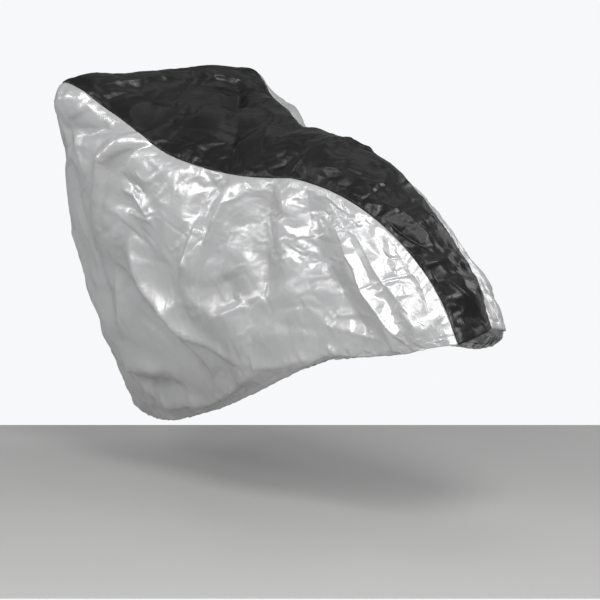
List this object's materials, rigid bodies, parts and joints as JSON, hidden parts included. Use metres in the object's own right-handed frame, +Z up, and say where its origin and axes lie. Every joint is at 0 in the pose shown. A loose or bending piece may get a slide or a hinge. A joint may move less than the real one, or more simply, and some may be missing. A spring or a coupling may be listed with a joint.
{
  "type": "bicycle cover",
  "caption": "Fitted rain cover draped over a leaning bicycle, with a black centre strip and silver-coated side panels sewn on, hollow and open underneath.",
  "frame": {"origin": "the inner face of the centre panel over the middle of the handlebar, which holds the cover up", "axes": "+X to the bicycle's rear, +Y to the bicycle's right, +Z up"},
  "size_m": [1.8222, 0.7929, 1.0831],
  "materials": {
    "silver_cloth": "silver-coated polyester, semi-gloss and finely crinkled",
    "black_cloth": "black coated polyester taffeta with a soft sheen"
  },
  "bodies": {
    "root": {"panel_left": "silver_cloth", "panel_centre": "black_cloth", "panel_right": "silver_cloth"}
  },
  "joints": []
}
